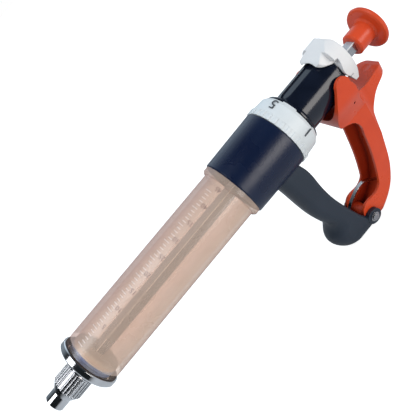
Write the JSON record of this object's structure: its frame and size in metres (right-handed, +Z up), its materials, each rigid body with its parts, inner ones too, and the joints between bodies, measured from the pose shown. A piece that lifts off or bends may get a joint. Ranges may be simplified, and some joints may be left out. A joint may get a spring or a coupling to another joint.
{
  "type": "repeater syringe",
  "caption": "Pistol-grip repeater syringe with a graduated barrel, dose ring, ratchet plunger, squeeze lever and release catch.",
  "frame": {"origin": "on the barrel axis at the front face of the needle nozzle", "axes": "+X back along the barrel to the plunger knob, +Z up, grip and lever towards -Z"},
  "size_m": [0.244, 0.0368, 0.1128],
  "materials": {
    "chrome": "polished",
    "steel": "bright",
    "black_rubber": "matt",
    "amber_plastic": "translucent",
    "black_plastic": "satin",
    "gloss_black": "glossy",
    "white_plastic": "satin",
    "pale_plastic": "matt",
    "red_plastic": "glossy",
    "grip_plastic": "satin"
  },
  "bodies": {
    "housing": {"luer_hub": "chrome", "front_cap": "chrome", "cap_gasket": "black_rubber", "barrel": "amber_plastic", "sleeve_housing": "black_plastic", "guide_bush": "white_plastic", "brake_ring": "black_rubber", "detent_ball": "steel", "detent_spring": "steel", "ring_bezel": "gloss_black", "grip": "grip_plastic", "grip_screw": "steel", "leaf_spring": "steel", "leaf_screw": "steel", "pivot_pin": "steel", "pivot_washers": "steel", "pivot_nut": "steel"},
    "dose_dial": {"dose_ring": "white_plastic"},
    "lever": {"lever": "red_plastic"},
    "carriage": {"carriage_tube": "gloss_black", "carriage_key": "steel", "trunnion_pins": "steel", "end_plug": "gloss_black", "catch_pin": "steel", "pawl_pin": "steel", "pawl_spring": "steel"},
    "pawl": {"drive_pawl": "steel"},
    "catch": {"release_catch": "pale_plastic"},
    "plunger": {"plunger_rod": "steel", "knob": "red_plastic", "knob_pin": "steel", "piston_front": "white_plastic", "piston_seal": "black_rubber", "piston_rear": "white_plastic", "piston_screw": "steel"}
  },
  "joints": [
    {"name": "lever_squeeze", "type": "hinge", "parent": "housing", "child": "lever", "pos_m": [0.183, 0, -0.089], "axis": [0, -1, 0], "range_deg": [0, 6.62], "stiffness_Nm_per_rad": 1, "springref_deg": -11.46, "deforming": ["leaf_spring"]},
    {"name": "carriage_slide", "type": "slide", "parent": "housing", "child": "carriage", "axis": [-1, 0, 0], "range_m": [0, 0.0102]},
    {"name": "dose_ring_turn", "type": "hinge", "parent": "housing", "child": "dose_dial", "pos_m": [0.174, 0, 0], "axis": [1, 0, 0], "continuous": true},
    {"name": "plunger_slide", "type": "slide", "parent": "housing", "child": "plunger", "axis": [1, 0, 0], "range_m": [0, 0.1018]},
    {"name": "catch_release", "type": "hinge", "parent": "carriage", "child": "catch", "pos_m": [0.2138, 0, 0.0082], "axis": [0, -1, 0], "range_deg": [0, 6], "stiffness_Nm_per_rad": 0.1, "springref_deg": -20.05},
    {"name": "pawl_lift", "type": "hinge", "parent": "carriage", "child": "pawl", "pos_m": [0.2033, 0, -0.007], "axis": [0, -1, 0], "range_deg": [0, 6.1], "deforming": ["pawl_spring"]}
  ],
  "couplings": [
    {"joint": "carriage_slide", "follows": "lever_squeeze", "m_per_rad": 0.08814},
    {"joint": "pawl_lift", "follows": "catch_release", "ratio": 1}
  ]
}
